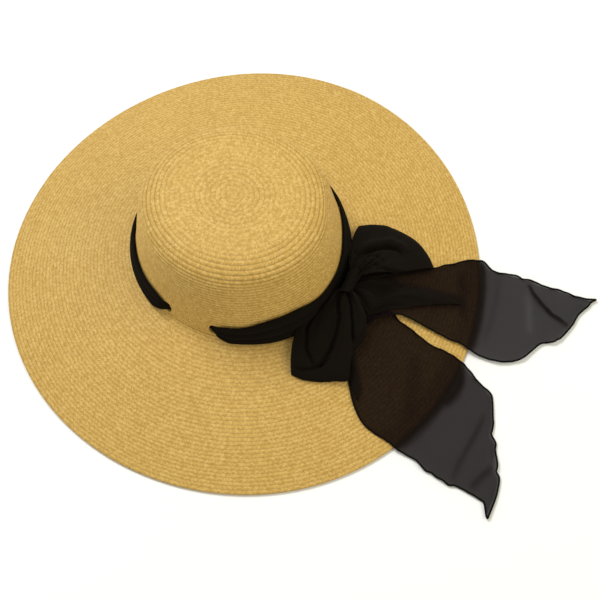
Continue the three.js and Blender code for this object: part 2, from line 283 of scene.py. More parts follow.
def oval_radius(long, short, angle):
    """Radius, towards an angle, of an oval with these half lengths along X and along Y."""
    long, short = np.maximum(long, tiny), np.maximum(short, tiny)
    return 1 / np.hypot(np.cos(angle) / long, np.sin(angle) / short)


def edge_wave_at(angle, radius):
    """The brim's outline waves a little, less and less towards the crown."""
    share = np.clip((radius - edge_wave_start) / (brim_reach - edge_wave_start), 0, 1)
    return share**2 * edge_wave * np.cos(edge_waves * (angle + edge_wave_turn))


def ease(value, low, high):
    """From 0 to 1 between the two values, with soft ends."""
    share = np.clip((value - low) / (high - low), 0, 1)
    return share * share * (3 - 2 * share)


def pressed_in(angle, height):
    """How far the crown's soft wall stands further in than its plain oval."""
    total = 0
    for degrees, spread, depth, low, high in crown_dents:
        around = np.exp((np.cos(angle - math.radians(degrees)) - 1) / spread)
        total = total + depth * MM * around * ease(height, low * MM, high * MM)
    return total * (1 - ease(height, *dent_head))


line = smooth_curve(straw_line, straw_line_steps)
line_lengths = np.hypot(np.diff(line[:, 0]), np.diff(line[:, 2]))
line_reach = np.concatenate(((0,), np.cumsum(line_lengths)))
line_slope = np.gradient(line[:, (0, 2)], line_reach, axis=0)


def straw_place(reach, angle, depth):
    """Place of the straw at a distance along the line from the tip's middle, in the
    direction of an angle, and so far under the upper face."""
    long, short, height = (np.interp(reach, line_reach, line[:, k]) for k in range(3))
    run, fall = (np.interp(reach, line_reach, line_slope[:, k]) for k in range(2))
    steep = np.hypot(run, fall)
    radius = oval_radius(long, short, angle) + edge_wave_at(angle, long) + depth * fall / steep
    radius = np.where(reach <= 0, 0, radius - pressed_in(angle, height))
    return np.stack((
        hat_axis.x + radius * np.cos(angle),
        hat_axis.y + radius * np.sin(angle),
        np.maximum(height - depth * run / steep, 0),
    ), axis=-1)


def select_only(piece):
    """Makes the piece the only one that an operator acts on."""
    bpy.ops.object.select_all(action="DESELECT")
    piece.select_set(True)
    bpy.context.view_layer.objects.active = piece


def flat_grid(name, across, along):
    """A unit square of faces, to be bent into a piece: X and Y are shares of its two ways."""
    bpy.ops.object.select_all(action="DESELECT")
    bpy.ops.mesh.primitive_grid_add(
        x_subdivisions=across, y_subdivisions=along, size=1, location=(0.5, 0.5, 0)
    )
    piece = bpy.context.object
    piece.name = piece.data.name = name
    bpy.ops.object.transform_apply(location=True)
    return piece


def shares_of(piece):
    """The grid's vertices as two arrays of shares."""
    places = np.empty(3 * len(piece.data.vertices), np.float32)
    piece.data.vertices.foreach_get("co", places)
    return places.reshape(-1, 3).astype(float)[:, :2].T


def bend_to(piece, places):
    """Moves the grid's vertices to their places."""
    piece.data.vertices.foreach_set("co", places.astype(np.float32).ravel())
    piece.data.update()


def close_up(piece, gap=0.02 * MM):
    """Welds what meets, turns the faces outwards and shades the piece smooth."""
    select_only(piece)
    bpy.ops.object.mode_set(mode="EDIT")
    bpy.ops.mesh.select_all(action="SELECT")
    bpy.ops.mesh.remove_doubles(threshold=gap)
    bpy.ops.mesh.dissolve_degenerate(threshold=gap)
    bpy.ops.mesh.normals_make_consistent(inside=False)
    bpy.ops.object.mode_set(mode="OBJECT")
    bpy.ops.object.shade_smooth()


def sewn_rows(name, row_ends, around, closed_at_tip):
    """A wall of sewn rows, from the reach of each row's two edges. Going once round moves
    one row outwards, and both faces of the wall are rows."""
    rows = len(row_ends) - 1
    fine = len(row_profile)
    rings = fine * (rows + 1) + 1
    down, up_again = np.arange(rings), np.arange(rings)[::-1]
    ring_row = np.concatenate((down, (rings - 1,), up_again, () if closed_at_tip else (0,)))
    faces = (np.zeros(rings), (0.5,), np.ones(rings), () if closed_at_tip else (0,))
    ring_side = np.concatenate(faces)
    piece = flat_grid(name, around, len(ring_row) - 1)
    turn, along = shares_of(piece)
    ring = np.rint(along * (len(ring_row) - 1)).astype(int)
    angle = turn * 2 * math.pi
    row_at = ring_row[ring] / fine - 1 + turn
    inside = (row_at > slack) & (row_at < rows - slack)
    row_at = np.clip(row_at, 0, rows)
    side = ring_side[ring]
    relief = np.array(row_profile)[ring_row[ring].astype(int) % fine] * row_relief * inside
    reach = np.interp(row_at, np.arange(rows + 1), row_ends)
    relief = relief * np.interp(reach / MM, relief_shares[:, 0], relief_shares[:, 1])
    depth = side * straw_wall_depth - relief * (1 - 2 * side)
    reach = reach + edge_roll * (side == 0.5)
    bend_to(piece, straw_place(reach, angle, depth))
    wind_plait(piece, ring_row, fine, rows, row_ends)
    close_up(piece)
    return piece


def wind_plait(piece, ring_row, fine, rows, row_ends):
    """The braid's own map: plaits along the row, and the row's number across it. All corners
    of a face belong to one row."""
    mesh = piece.data
    corners = 4
    values = np.empty(2 * len(mesh.loops), np.float32)
    mesh.uv_layers[0].data.foreach_get("uv", values)
    turn, along = values.reshape(-1, 2).T.astype(float)
    spans = along * (len(ring_row) - 1)
    middle = np.repeat(spans.reshape(-1, corners).mean(axis=1), corners)
    row = np.interp(middle, np.arange(len(ring_row)), ring_row) // fine
    reach = np.interp(np.clip(row - 0.5, 0, rows), np.arange(rows + 1), row_ends)
    radius = np.interp(reach, line_reach, line[:, 0])
    across = np.interp(spans, np.arange(len(ring_row)), ring_row) / fine
    plaits = turn * 2 * math.pi * radius / plait_width
    mesh.uv_layers[0].name = "braid"
    braid = np.stack((plaits, across), axis=1).astype(np.float32)
    mesh.uv_layers[0].data.foreach_set("uv", braid.ravel())


def plait_group():
    """Straw plaited into a braid: the strands slant one way in one half of the row and the
    other way in the other half, and each strand has a tone of its own."""
    group = bpy.data.node_groups.new("straw_plait", "ShaderNodeTree")
    face = group.interface
    face.new_socket("Braid", in_out="INPUT", socket_type="NodeSocketVector")
    for name in ("Tone", "Height", "Seam"):
        face.new_socket(name, in_out="OUTPUT", socket_type="NodeSocketFloat")
    start = group.nodes.new("NodeGroupInput")
    end = group.nodes.new("NodeGroupOutput")
    split = add_node(group, "ShaderNodeSeparateXYZ", {0: start.outputs["Braid"]})
    along, across = split.outputs[0], split.outputs[1]
    in_row = math_of(group, "FRACT", across)
    from_middle = math_of(group, "ABSOLUTE", math_of(group, "SUBTRACT", in_row, 0.5))
    half = math_of(group, "GREATER_THAN", in_row, 0.5)
    row = math_of(group, "FLOOR", across)
    slant = math_of(group, "MULTIPLY_ADD", from_middle, strand_slant, along)
    half_row = math_of(group, "MULTIPLY_ADD", half, 0.5, row)
    place = math_of(group, "MULTIPLY_ADD", half_row, row_shift, slant)
    strand = math_of(group, "FLOOR", place)
    in_strand = math_of(group, "FRACT", place)
    key = add_node(group, "ShaderNodeCombineXYZ", {0: strand, 1: row, 2: half})
    tone = add_node(group, "ShaderNodeTexWhiteNoise", {"Vector": key.outputs[0]})
    arch = math_of(group, "SINE", math_of(group, "MULTIPLY", in_strand, math.pi))
    to_edge = math_of(group, "MULTIPLY", from_middle, 2.0)
    seam = math_of(group, "POWER", to_edge, seam_sharpness)
    group.links.new(tone.outputs["Value"], end.inputs["Tone"])
    group.links.new(arch, end.inputs["Height"])
    group.links.new(seam, end.inputs["Seam"])
    return group


def ramp_of(tree, value, stops):
    """Colours, or grey shares, by a value from 0 to 1."""
    ramp = add_node(tree, "ShaderNodeValToRGB", {"Fac": value})
    ramp.color_ramp.elements.remove(ramp.color_ramp.elements[1])
    for index, (share, colour) in enumerate(stops):
        stop = ramp.color_ramp.elements.new(share) if index else ramp.color_ramp.elements[0]
        stop.position = share
        stop.color = colour if isinstance(colour, tuple) else (colour, colour, colour, 1)
    return ramp.outputs["Color"]


def emboss(tree, shader, height, strength, depth):
    """A bump on the shader's surface, by a height that changes over it."""
    bump = {"Height": height, "Strength": strength, "Distance": depth}
    tree.links.new(add_node(tree, "ShaderNodeBump", bump).outputs[0], shader.inputs["Normal"])


def straw_finish(plait):
    """Natural straw: pale, golden and tan strands, with painted shade in the grooves where the rows are
    sewn.
    """
    finish, tree, shader = new_finish("natural_straw", Roughness=0.62, Specular_IOR_Level=0.35)
    braid = add_node(tree, "ShaderNodeUVMap", uv_map="braid").outputs[0]
    plaited = add_node(tree, "ShaderNodeGroup", node_tree=plait)
    tree.links.new(braid, plaited.inputs["Braid"])
    place = add_node(tree, "ShaderNodeTexCoord").outputs["Object"]
    tone = plaited.outputs["Tone"]
    noises = {}
    for name, scale, detail, share, shift in straw_noises:
        noises[name] = noise_of(tree, place, scale, detail)
        tone = math_of(tree, "ADD", tone, shift)
        tone = math_of(tree, "MULTIPLY_ADD", noises[name], share, tone)
    straw_tone = ramp_of(tree, tone, straw_tones)
    # Painted shade in the grooves between the rows: patchy, and graded by the distance from the tip's
    # middle.
    painted_seam_shade = math_of(tree, "MULTIPLY_ADD", noises["patches"], seam_shade_patchiness, seam_shade_least)
    middle = {0: place, 1: (hat_axis.x, hat_axis.y, crown_high.z)}
    away = add_node(tree, "ShaderNodeVectorMath", middle, operation="DISTANCE").outputs["Value"]
    away = math_of(tree, "DIVIDE", away, seam_shade_reach)
    painted_seam_shade = math_of(tree, "MULTIPLY", painted_seam_shade, ramp_of(tree, away, seam_shade_shares))
    seam = math_of(tree, "MULTIPLY", plaited.outputs["Seam"], painted_seam_shade)
    shadow = math_of(tree, "SUBTRACT", 1.0, seam)
    colour = blend_of(tree, 1.0, straw_tone, shadow, "MULTIPLY")
    tree.links.new(colour, shader.inputs["Base Color"])
    height = plaited.outputs["Height"]
    relief = math_of(tree, "MULTIPLY_ADD", noises["fibre"], fibre_relief, height)
    emboss(tree, shader, relief, straw_bump, straw_bump_depth)
    return finish


join_reach = float(np.interp(-join_height, -line[:, 2], line_reach))
tip_reach = tip_rows * tip_row_width
wall_rows = round((join_reach - tip_reach) / wall_row_width)
brim_rows = round((line_reach[-1] - join_reach) / wall_row_width)
crown_ends = np.concatenate((
    np.linspace(0, tip_reach, tip_rows, endpoint=False),
    np.linspace(tip_reach, join_reach - join_gap / 2, wall_rows + 1),
))
brim_ends = np.linspace(join_reach + join_gap / 2, line_reach[-1], brim_rows + 1)
straw = straw_finish(plait_group())
crown = sewn_rows("crown_braid", crown_ends, crown_around, closed_at_tip=True)
brim = sewn_rows("brim_braid", brim_ends, brim_around, closed_at_tip=False)


def cut_slots(wall):
    """Four upright oval slots near the crown's foot, where the scarf goes through the wall."""
    cutters = []
    for degrees in slot_angles:
        angle = math.radians(degrees)
        radius = oval_radius(crown_foot[0], crown_foot[1], angle)
        place = (
            hat_axis.x + radius * math.cos(angle),
            hat_axis.y + radius * math.sin(angle),
            (slot_foot + slot_head) / 2,
        )
        bpy.ops.object.select_all(action="DESELECT")
        bpy.ops.mesh.primitive_cylinder_add(
            vertices=32, radius=0.5, depth=1, location=place, rotation=(0, math.pi / 2, angle)
        )
        cutter = bpy.context.object
        cutter.scale = (slot_head - slot_foot, slot_width, cutter_depth)
        cutters.append(cutter)
    for cutter in cutters:
        cutting = wall.modifiers.new("slot", "BOOLEAN")
        cutting.object = cutter
        cutting.solver = "MANIFOLD"
        select_only(wall)
        bpy.ops.object.modifier_apply(modifier="slot")
        bpy.data.objects.remove(cutter)


def hand_over(piece, finish, node=None):
    """The piece gets its finish, rides on the hat and stands for its solid."""
    piece.data.materials.clear()
    piece.data.materials.append(finish)
    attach(piece, "root")
    if node:
        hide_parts(node)


cut_slots(crown)
hand_over(crown, straw, "crown")
hand_over(brim, straw, "brim")

# Scarf band: the middle of one long chiffon scarf, folded lengthwise and drawn round the
# crown's foot. It dips through the slots and runs inside the crown between each two.
band_foot, band_head, band_depth = 41.6 * MM, 62 * MM, 4.6 * MM
band_gap = 0.5 * MM
slot_margin, slot_depth = 1 * MM, 2 * MM
turn_share, slot_radius = 0.45, 90 * MM

# How the band changes on its way round, in degrees from the bow or from the nearest slot: it is
# lifted beside the bow, pressed flat under the knot, drawn tight on the far side and opposite
# the bow, loose on the near side and bunched at a slot.
band_lift, band_lift_span = 4 * MM, (10, 45)
pressed_depth, pressed_span = 3 * MM, (7, 14)
tight_foot, tight_depth = 5 * MM, 1.5 * MM
tight_from, tight_to, tight_back = (10, 30), (72, 84), (157, 174)
loose_lift, loose_depth, loose_from, loose_to = 8 * MM, 2.2 * MM, (14, 34), (44, 66)
bunch_lift, bunch_depth, bunch_at, bunch_width = 1.2 * MM, 0.8 * MM, 4, 3
full_outside, full_inside, inside_share = (0.5, 10), (3, 12), 0.15
band_drifts = (
    # how far its fold lines drift across it, waves in one turn, and where they start
    (0.03, 2, 0.7),
    (0.015, 5, 0),
)
band_around, band_across, section_steps = 300, 64, 6
thread_scale, thread_waver = 400.0, 0.6
pucker_scale, pucker_relief = 260.0, 0.8
weave_bump, weave_depth = 0.3, 0.15 * MM
chiffon_dark, chiffon_light = (0.003, 0.0021, 0.0011, 1), (0.0085, 0.006, 0.0034, 1)
one_layer, heaped_layers = 1.1, 2.2
band_section = np.array((
    # share of the band's height, and share of its depth from the wall outwards
    (0.14, 0.08),
    (0.04, 0.35),
    (0.06, 0.78),
    (0.16, 0.98),
    (0.27, 0.74),
    (0.33, 0.62),
    (0.42, 0.9),
    (0.53, 0.98),
    (0.63, 0.7),
    (0.69, 0.58),
    (0.79, 0.86),
    (0.9, 0.84),
    (0.99, 0.5),
    (0.96, 0.12),
    (0.7, 0.03),
    (0.4, 0.05),
    (0.2, 0.14),
))


def chiffon_group():
    """Fine plain weave with a crepe twist: light threads, and small puckers."""
    group = bpy.data.node_groups.new("chiffon_weave", "ShaderNodeTree")
    face = group.interface
    face.new_socket("Cloth", in_out="INPUT", socket_type="NodeSocketVector")
    for name in ("Thread", "Pucker"):
        face.new_socket(name, in_out="OUTPUT", socket_type="NodeSocketFloat")
    start = group.nodes.new("NodeGroupInput")
    end = group.nodes.new("NodeGroupOutput")
    cloth = start.outputs["Cloth"]
    wave = {"Vector": cloth, "Scale": thread_scale, "Distortion": thread_waver}
    warp = add_node(group, "ShaderNodeTexWave", wave, bands_direction="X")
    weft = add_node(group, "ShaderNodeTexWave", wave, bands_direction="Y")
    thread = math_of(group, "MAXIMUM", warp.outputs["Fac"], weft.outputs["Fac"])
    group.links.new(thread, end.inputs["Thread"])
    group.links.new(noise_of(group, cloth, pucker_scale), end.inputs["Pucker"])
    return group


def chiffon_finish(name, weave, sheer=None, alone=None):
    """Black chiffon. In folds it is opaque; one layer lets some light through and looks
    warmer, and less so where more layers lie on each other."""
    finish, tree, shader = new_finish(
        name, Roughness=0.85, Specular_IOR_Level=0.035, Sheen_Weight=0.012, Sheen_Roughness=0.5
    )
    cloth = add_node(tree, "ShaderNodeUVMap", uv_map="cloth").outputs[0]
    woven = add_node(tree, "ShaderNodeGroup", node_tree=weave)
    tree.links.new(cloth, woven.inputs["Cloth"])
    thread = woven.outputs["Thread"]
    tone = blend_of(tree, thread, chiffon_dark, chiffon_light)
    relief = math_of(tree, "MULTIPLY_ADD", woven.outputs["Pucker"], pucker_relief, thread)
    emboss(tree, shader, relief, weave_bump, weave_depth)
    if sheer:
        layers = add_node(tree, "ShaderNodeAttribute", attribute_name="layers").outputs["Fac"]
        open_weave = {"Value": thread, "To Min": sheer[0], "To Max": sheer[1]}
        through = add_node(tree, "ShaderNodeMapRange", open_weave).outputs[0]
        through_all = math_of(tree, "POWER", through, layers)
        tree.links.new(math_of(tree, "SUBTRACT", 1.0, through_all), shader.inputs["Alpha"])
        heaped = {"Value": layers, "From Min": one_layer, "From Max": heaped_layers}
        heap = add_node(tree, "ShaderNodeMapRange", heaped).outputs[0]
        tone = blend_of(tree, heap, alone, tone)
    tree.links.new(tone, shader.inputs["Base Color"])
    return finish


def mix(first, second, share):
    """The value at a share of the way from the first to the second."""
    return first + (second - first) * share


def cloth_map(piece, width, length):
    """The cloth's own map in metres, so that its weave keeps its size."""
    layer = piece.data.uv_layers[0]
    values = np.empty(2 * len(piece.data.loops), np.float32)
    layer.data.foreach_get("uv", values)
    layer.data.foreach_set("uv", values * np.tile((width, length), len(piece.data.loops)))
    layer.name = "cloth"


def band_side(degrees):
    """1 where the scarf lies outside the crown, 0 where it is inside."""
    away = np.abs(degrees)
    half = math.degrees(turn_share * slot_width / slot_radius)
    first = (slot_angles[0] + half - away) / (2 * half)
    second = (away - slot_angles[1] + half) / (2 * half)
    return np.clip(np.maximum(first, second), 0, 1)


def band_places(turn, across):
    """Cloth at a share of the way round, and a share of the way along the folded section."""
    degrees = turn * 360 - 180
    away = np.abs(degrees)
    angle = np.radians(degrees)
    side = band_side(degrees)
    near_slot = np.min([np.abs(degrees - slot) for slot in slot_angles], axis=0)
    bunch = np.exp(-(((near_slot - bunch_at) / bunch_width) ** 2)) * side
    inner_full = inside_share * ease(near_slot, *full_inside)
    full = np.where(side > 0.5, ease(near_slot, *full_outside), inner_full)
    loose = ease(-degrees, *loose_from) * (1 - ease(-degrees, *loose_to))
    lift = band_lift * (1 - ease(away, *band_lift_span)) + loose_lift * loose
    pressed = 1 - ease(away, *pressed_span)
    tight = ease(degrees, *tight_from) * (1 - ease(degrees, *tight_to)) + ease(away, *tight_back)
    foot = mix(slot_foot + slot_margin, band_foot + tight_foot * tight, full)
    head = mix(slot_head - slot_margin, band_head + lift, full) + bunch_lift * bunch
    depth = mix(mix(slot_depth, band_depth - tight_depth * tight, full), pressed_depth, pressed)
    depth = depth + bunch_depth * bunch + loose_depth * loose
    section = smooth_curve(band_section, section_steps)
    drift = sum(share * np.sin(waves * angle + start) for share, waves, start in band_drifts)
    at = (across + drift * np.sin(math.pi * across)) * (len(section) - 1)
    rise, out = (np.interp(at, np.arange(len(section)), section[:, k]) for k in range(2))
    height = mix(foot, head, rise)
    wall_line = line[line_reach <= join_reach]
    long = np.interp(-height, -wall_line[:, 2], wall_line[:, 0])
    short = np.interp(-height, -wall_line[:, 2], wall_line[:, 1])
    wall = oval_radius(long, short, angle) - pressed_in(angle, height)
    outside = wall + row_relief + band_gap + depth * out
    inside = wall - straw_wall_depth - row_relief - band_gap - depth * (1 - out)
    radius = mix(inside, outside, side)
    return np.stack((
        hat_axis.x + radius * np.cos(angle), hat_axis.y + radius * np.sin(angle), height
    ), axis=-1)


weave = chiffon_group()
folded_chiffon = chiffon_finish("folded_chiffon", weave)
band = flat_grid("scarf_band_cloth", band_across, band_around)
across, turn = shares_of(band)
bend_to(band, band_places(turn, across))
cloth_map(band, 0.05, 0.6)
close_up(band)
hand_over(band, folded_chiffon, "scarf_band")

# Bow loops: each is a stretch of the scarf that leaves the knot, lies out over the brim,
# turns back at its far fold and returns under itself. Pleats gather it at the knot, and a
# few deep folds run along it.
knot_low, knot_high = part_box("bow_knot")
knot_middle = (knot_low + knot_high) / 2
drape_run = 16 * MM
cloth_gap = 1.1 * MM
loop_across, loop_along = 150, 140
loop_root, loop_fullness, fold_steps, fold_roundness = 0.06, 0.8, 16, 6
loop_half_knot, loop_half_fold, half_span = 6.8 * MM, 4.2 * MM, (0, 0.7)
loop_lift_brim, loop_lift_tail, tail_span = 1.2 * MM, 5 * MM, (0.2, 0.45)
puff_span, fall_span, edge_span = (0.1, 0.6), (0, 0.75), (0.93, 1)
pleat_height, gathered_height, fine_height = 0.5, 2.2, 0.6
pleat_roundness, pleat_middle, pleat_step = 0.8, 0.6, 0.4
pleat_wander, wander_across, wander_along = 0.03, 9, 3
fine_pleats, fine_slant, gather_fade = 2.3, 4, 1.3
line_end_fade = 6

# A loop's numbers, in millimetres from the crown's axis: where it starts, how much it puffs up,
# its pleats, how much of it lies over a tail, its far fold, and its creases. A crease has its
# points, its half width and its height, below zero for a valley.
upper_loop = {
    "start": (106, 3),
    "puff": 2.5,
    "pleats": 5,
    "over_tail": 0,
    "fold": (
        # X, Y and the sideways bow of the ray to it
        (86.5, 64, 5),
        (97, 72, 4),
        (107, 77, 2),
        (117, 78.5, 0),
        (131, 79, 0),
        (142, 76.5, 0),
        (152, 71, 0),
        (162, 62, 0),
    ),
    "lines": (
        (((101, 25), (105, 34), (111, 42), (119, 51), (126, 54), (134, 54)), 2.1, -5.6),
        (((98, 30), (103, 42), (110, 51), (119, 59), (128, 61), (138, 59)), 3.6, 2.8),
        (((101, 21), (104, 27), (108, 31), (115, 35), (122, 35), (126, 32)), 1.3, -2.4),
        (((108, 18), (112, 23), (122, 29), (127, 29), (139, 36), (153, 46), (160, 56)), 1.2, -2.4),
        (((111, 17), (122, 25), (133, 32), (143, 39), (150, 45)), 1.1, -1.8),
    ),
}
lower_loop = {
    "start": (106, -5),
    "puff": 1,
    "pleats": 5,
    "over_tail": 1,
    "fold": (
        (92.5, -90, -17),
        (103.5, -89.3, -11),
        (116.3, -84.5, -6),
        (128.4, -78, -2),
        (138, -72.5, 0),
        (135, -61, 2),
        (132, -50, 2),
        (134, -42, 2),
        (135.5, -34, 2),
        (134.5, -26, 2),
        (130.5, -18, 3),
    ),
    "lines": (
        (((97, -15), (95, -25), (90, -42), (89, -51), (96, -67), (106, -75), (111, -76)), 1.4, -4.2),
        (((101, -14), (105, -22), (111, -32), (114, -44), (115, -57), (114, -65), (112, -75)), 1.6, -5),
        (((100, -25), (101, -40), (103, -55), (107, -67)), 6, 2),
        (((107, -7), (113, -14), (117, -21), (121, -29), (125, -37), (130, -45)), 1.8, -5),
        (((112, -8), (121, -14), (128, -22), (131, -31), (130, -40)), 3.4, 3),
        (((92, -85), (99, -83.5), (105, -80.5), (110, -76), (114, -71), (117, -64)), 1.4, -3.4),
    ),
}


def rest_height(x, y):
    """Height of the brim's upper face under a place, given from the crown's axis, or of the
    cloth's bend past the brim's edge, where it comes down to the table."""
    angle, radius = np.arctan2(y, x), np.hypot(x, y)
    flat_part = line[line_reach >= join_reach][::-1]
    beyond, beyond_height = None, None
    for long, short, level in flat_part:
        here = oval_radius(long, short, angle) + edge_wave_at(angle, long)
        if beyond is None:
            height = level * (1 - ease(radius, here, here + drape_run))
        else:
            share = np.clip((radius - here) / (beyond - here), 0, 1)
            height = np.where(radius < beyond, mix(level, beyond_height, share), height)
        beyond, beyond_height = here, level
    return height


def on_line(x, y, points, half_width):
    """1 on a line through the points, fading at its sides and its two ends."""
    points = np.array(points) * MM
    lengths = np.hypot(*np.diff(points, axis=0).T)
    reach = np.concatenate(((0,), np.cumsum(lengths)))
    nearest = np.full(np.shape(x), np.inf)
    share = np.zeros(np.shape(x))
    for first, second, length, before in zip(points, points[1:], lengths, reach):
        way = (second - first) / length
        along = np.clip((x - first[0]) * way[0] + (y - first[1]) * way[1], 0, length)
        away = np.hypot(x - first[0] - along * way[0], y - first[1] - along * way[1])
        closer = away < nearest
        nearest = np.where(closer, away, nearest)
        share = np.where(closer, (before + along) / reach[-1], share)
    ends = np.sqrt(np.clip(line_end_fade * share * (1 - share), 0, 1))
    return ends * np.exp(-((nearest / (half_width * MM)) ** 2))


def loop_places(loop, lateral, along):
    """Cloth of a loop at a share of the way across its width and along its length."""
    outline = smooth_curve(np.array(loop["fold"]) * MM, fold_steps)
    shares = np.linspace(0, 1, len(outline))
    end_x, end_y, bow = (np.interp(lateral, shares, outline[:, k]) for k in range(3))
    start_x, start_y = np.array(loop["start"]) * MM
    ray_x, ray_y = end_x - start_x, end_y - start_y
    reach = loop_root + (1 - loop_root) * np.sin(along * math.pi) ** loop_fullness
    over = np.where(along <= 0.5, 1.0, -1.0)
    swing = 4 * reach * (1 - reach) * bow / np.hypot(ray_x, ray_y)
    x = start_x + ray_x * reach - ray_y * swing
    y = start_y + ray_y * reach + ray_x * swing
    swell = loop["puff"] * MM * np.sin(math.pi * lateral) * ease(reach, *puff_span)
    half = mix(loop_half_knot, loop_half_fold, ease(reach, *half_span)) + swell
    half = half * np.sqrt(np.clip(1 - reach**fold_roundness, 0, 1))
    wave = lateral + pleat_wander * np.sin(wander_across * lateral + wander_along * reach)
    pleat = np.abs(np.sin(math.pi * loop["pleats"] * wave + pleat_step * over))
    pleat = pleat**pleat_roundness - pleat_middle
    fine = np.sin(2 * math.pi * fine_pleats * loop["pleats"] * wave + fine_slant * reach)
    gather = (1 - reach) ** gather_fade
    on_tail = loop["over_tail"] * ease(lateral, *tail_span)
    lift = mix(loop_lift_brim, loop_lift_tail, on_tail)
    lying = rest_height(x, y) + cloth_gap + half + lift
    height = mix(knot_middle.z, lying, ease(reach, *fall_span)) + over * half
    height = height + (pleat_height + gathered_height * gather) * MM * pleat
    height = height + fine_height * MM * gather * fine
    upper_layer = np.where(over > 0, 1 - ease(reach, *edge_span), 0)
    for points, half_width, tall in loop["lines"]:
        height = height + tall * MM * on_line(x, y, points, half_width) * upper_layer
    return np.stack((x + hat_axis.x, y + hat_axis.y, height), axis=-1)


for node, loop in (("bow_loop_upper", upper_loop), ("bow_loop_lower", lower_loop)):
    piece = flat_grid(node + "_cloth", loop_across, loop_along)
    bend_to(piece, loop_places(loop, *shares_of(piece)))
    cloth_map(piece, 0.085, 0.13)
    close_up(piece)
    hand_over(piece, folded_chiffon, node)

# Knot: the scarf wound once round the gathered loops and pulled tight, so that it shows
# three soft ribs.
knot_half = (knot_high - knot_low) / 2
knot_across, knot_around = 48, 64
knot_waist, knot_flare = 0.82, 0.2
knot_depth_share, knot_length_share, knot_slant = 0.8, 1.1, 3 * MM
ribs, rib_height, rib_roundness, rib_sway = 3, 0.07, 0.7, 0.2


def knot_places(across, turn):
    """Cloth of the knot at a share of the way along it and a share of the way round it."""
    angle = turn * 2 * math.pi
    along = 2 * across - 1
    rib_phase = ribs / 2 * along + 0.5 + rib_sway * np.sin(angle)
    rib = 1 + rib_height * np.abs(np.sin(math.pi * rib_phase)) ** rib_roundness
    swell = (knot_waist + knot_flare * along**2) * rib
    return np.stack((
        knot_middle.x + knot_depth_share * knot_half.x * swell * np.cos(angle),
        knot_middle.y + knot_length_share * knot_half.y * along + knot_slant * np.cos(angle),
        knot_middle.z + knot_half.z * swell * np.sin(angle),
    ), axis=-1)


knot = flat_grid("bow_knot_cloth", knot_across, knot_around)
bend_to(knot, knot_places(*shares_of(knot)))
cloth_map(knot, 0.025, 0.06)
close_up(knot)
hand_over(knot, folded_chiffon, "bow_knot")

# Tails: the scarf's two pointed ends, one layer of sheer chiffon, spread over the brim and
# bent over its edge to the table. A pleat runs out along each from the knot. Their edges are
# rolled and overcast with a fine thread.
layer_step = 0.9 * MM

# A tail's numbers, in millimetres from the crown's axis: the waves across it, where they start
# and how tall they are, the rise of its root, its two edges and its pleat. Then how many layers
# of cloth lie near the knot, over the brim and past it, and between which X that changes; the
# step down from over the brim to past it is painted shade on the cloth over the straw.
upper_tail = {
    "waves": 2.5,
    "turn": 0,
    "tall": 2.6,
    "rise": 8,
    "right": (
        # X and Y
        (110, -4), (116, -8), (123, -15), (130, -22), (135, -16), (139, -8), (151, 2.5),
        (162.5, 5.5), (200.5, 7.5), (209.5, 9.5), (228, 7.5), (248, 10), (263, 19.5),
        (269.5, 32), (274.5, 42), (283.5, 47.5), (286, 51), (288.5, 54.5), (293, 70),
        (294.5, 82.5), (299.5, 94), (300.5, 98.5), (303.5, 102.5),
    ),
    "left": (
        (110, 8), (122, 26), (137, 41.5), (161, 62), (168, 70.5), (176.5, 79),
        (184.5, 88.5), (191, 93), (195, 95.5), (199, 95.5), (206.5, 92), (210.5, 91.5),
        (230.5, 95.5), (236.5, 95), (243, 97), (250.5, 96), (259.5, 96.5), (267.5, 98),
        (280.5, 98.5), (297, 100.5), (303.5, 103.5),
    ),
    "pleat": (
        # X, and Y of the pleat's two fold edges
        (110, -2, 3),
        (122, -7, 14),
        (130, -12, 22),
        (136, -5, 23),
        (143, 3, 23),
        (152, 9, 28),
        (163, 19, 33),
        (175, 28, 37),
        (188, 37, 41.5),
        (197, 42.5, 43),
    ),
    "layers": (2.6, 1.11, 0.96),
    "layers_at": (114, 136, 160, 235),
    "lines": (
        # points, half width, height, and how many layers it adds, which darkens the cloth along it, or
        # lightens it below zero
        (((243, 93), (250, 85), (260, 79), (273, 73), (290, 68)), 1.4, 1.6, 1.1),
        (((243, 90), (250, 75), (257, 58), (262, 45)), 3, 0.5, -0.12),
        (((228, 20), (226, 45), (221, 70), (216, 88)), 3, 0.8, 0.08),
        (((183, 76), (190, 62), (197, 46), (203, 34)), 4, 1.2, 0.25),
        (((172, 32), (185, 39), (198, 47)), 3, 0.3, 0.2),
    ),
}
